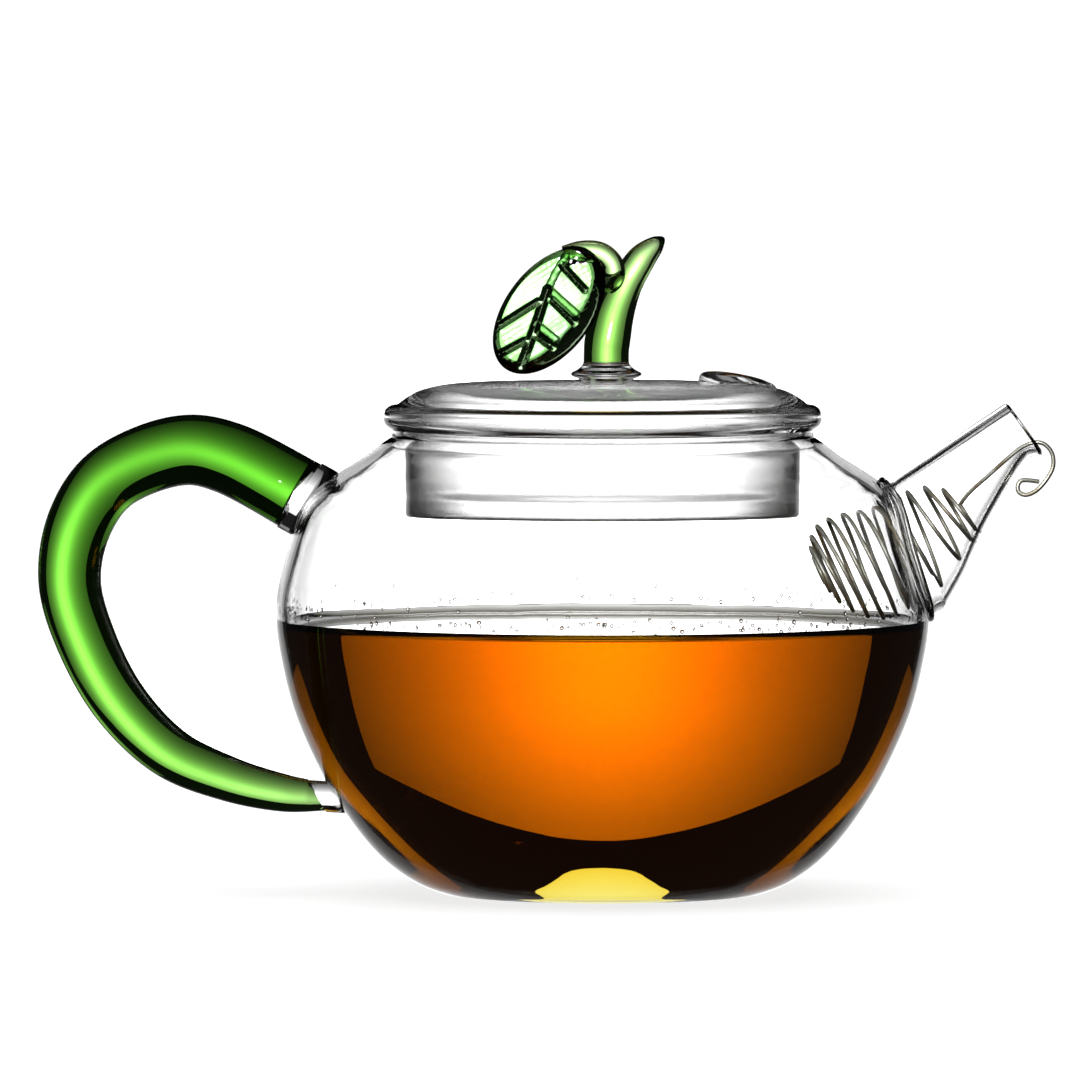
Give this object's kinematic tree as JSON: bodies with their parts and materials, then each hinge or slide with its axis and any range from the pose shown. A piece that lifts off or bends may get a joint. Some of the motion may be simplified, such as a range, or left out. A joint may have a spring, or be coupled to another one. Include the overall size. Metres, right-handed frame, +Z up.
{
  "type": "glass teapot",
  "caption": "Blown glass teapot with a straight spout, a loop rod handle, a lift-off lid with a leaf knob and a wire coil strainer in the spout.",
  "frame": {"origin": "centre of the standing ring, on the surface that the teapot stands on", "axes": "+Z up through the lid, +X towards the spout, handle towards -X"},
  "size_m": [0.1398, 0.09, 0.0903],
  "materials": {
    "clear_glass": "fire-polished clear borosilicate glass",
    "green_glass": "fire-polished solid green glass",
    "steel_wire": "drawn stainless wire"
  },
  "bodies": {
    "pot": {"pot_body": "clear_glass", "spout": "clear_glass", "spout_weld": "clear_glass", "handle": "green_glass", "handle_upper_weld": "clear_glass", "handle_lower_weld": "clear_glass", "strainer_coil": "steel_wire"},
    "lid": {"lid": "clear_glass", "knob_foot": "clear_glass", "knob_stem": "green_glass", "leaf_stalk": "green_glass", "knob_leaf": "green_glass"},
    "strainer_grip": {"strainer_leg": "steel_wire"}
  },
  "joints": [
    {"name": "lid_lift", "type": "slide", "parent": "pot", "child": "lid", "axis": [0, 0, 1], "range_m": [0, 0.04]},
    {"name": "strainer_pull", "type": "slide", "parent": "pot", "child": "strainer_grip", "axis": [0.7659, 0, 0.6429], "range_m": [0, 0.004], "stiffness_N_per_m": 25, "deforming": ["strainer_coil"]}
  ]
}
